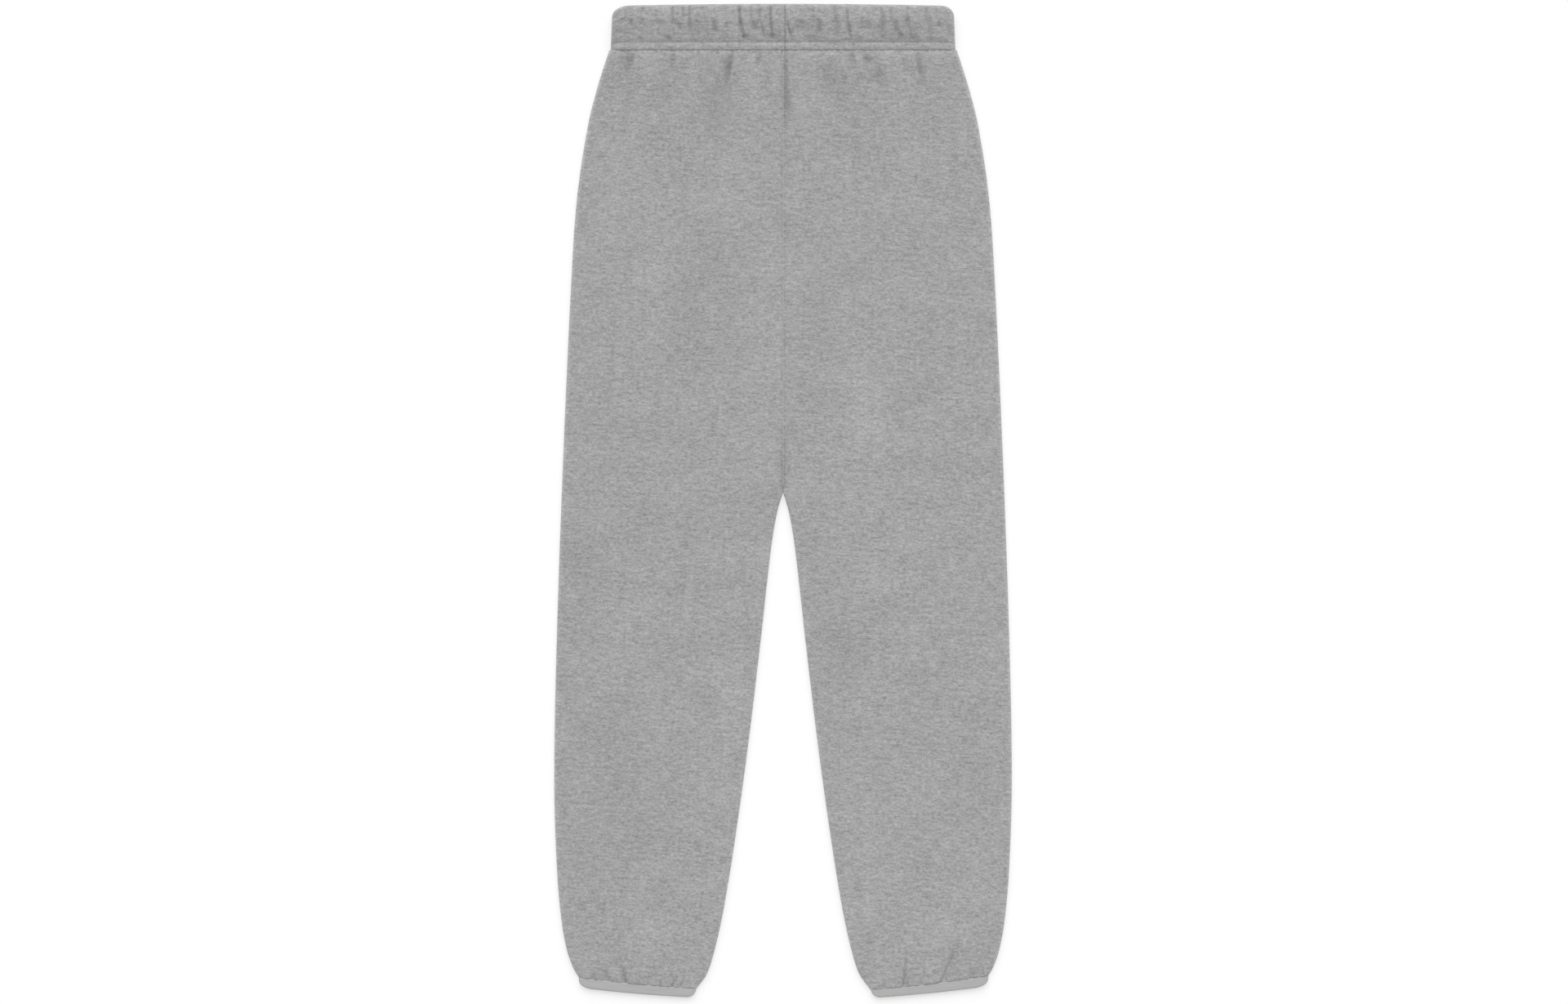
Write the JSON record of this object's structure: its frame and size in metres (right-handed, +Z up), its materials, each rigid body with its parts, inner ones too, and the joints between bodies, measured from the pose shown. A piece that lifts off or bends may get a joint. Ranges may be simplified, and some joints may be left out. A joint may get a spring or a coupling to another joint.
{
  "type": "jogger sweatpants laid flat",
  "caption": "Heather grey fleece jogger sweatpants laid flat, back upward, with a gathered elastic waistband, tapered legs and narrow elastic hem bindings.",
  "frame": {"origin": "middle of the garment's footprint, on the surface that it lies on", "axes": "+Y along the garment towards the waist, +X across it to the wearer's right side, +Z up out of the garment's back"},
  "size_m": [0.47, 1.02, 0.014],
  "materials": {
    "fleece": "heather grey brushed cotton fleece, matt",
    "binding": "smooth light grey elastic tape, matt"
  },
  "bodies": {
    "root": {"back_leg_left": "fleece", "back_leg_right": "fleece", "front_leg_left": "fleece", "front_leg_right": "fleece", "waistband": "fleece", "hem_binding_left": "binding", "hem_binding_right": "binding"}
  },
  "joints": []
}
